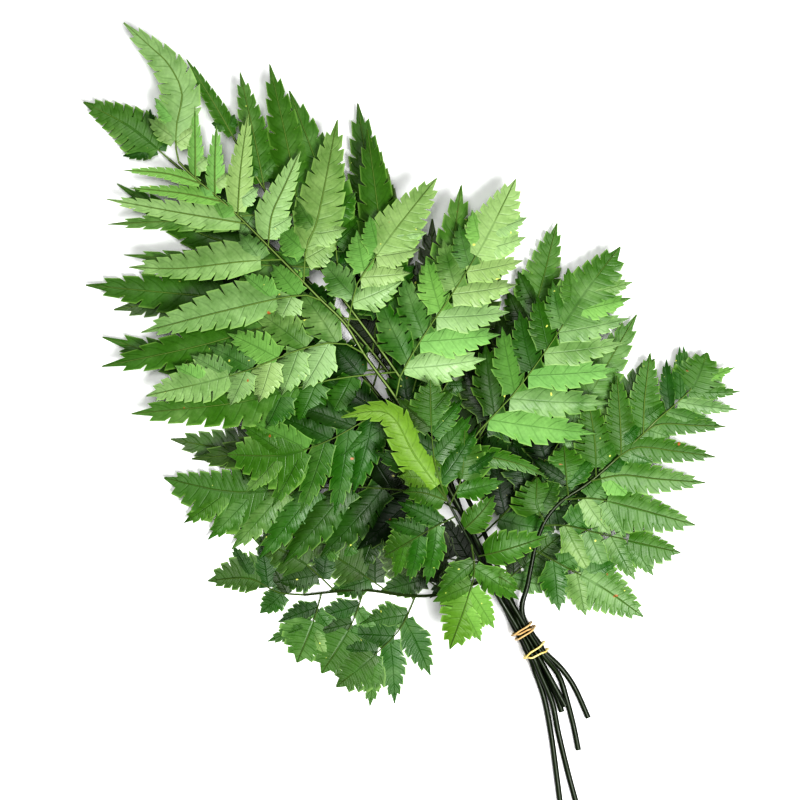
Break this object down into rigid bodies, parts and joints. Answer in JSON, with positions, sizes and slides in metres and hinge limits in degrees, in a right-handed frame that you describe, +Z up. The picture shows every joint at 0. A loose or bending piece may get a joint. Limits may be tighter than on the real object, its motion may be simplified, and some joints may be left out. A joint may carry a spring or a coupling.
{
  "type": "tied bunch of fern fronds",
  "caption": "Tied bunch of cut leathery fern fronds with toothed leaflets, lying flat in overlapping layers, its bare stems held by wound elastic bands.",
  "frame": {"origin": "centre of the underside of the whole bunch's box, on the table", "axes": "+Y from the cut stem ends towards the leaf tips, +X to the right seen from above, +Z up from the table"},
  "size_m": [0.3964, 0.4916, 0.0515],
  "materials": {
    "leaf": null,
    "band_tan": "tan rubber band, matte",
    "band_cream": "cream-yellow rubber band, matte"
  },
  "bodies": {
    "root": {"frond_lowest": "leaf", "frond_third": "leaf", "frond_right": "leaf", "frond_second": "leaf", "frond_top": "leaf", "frond_small": "leaf", "band_tight": "band_tan", "band_loose": "band_cream"}
  },
  "joints": []
}
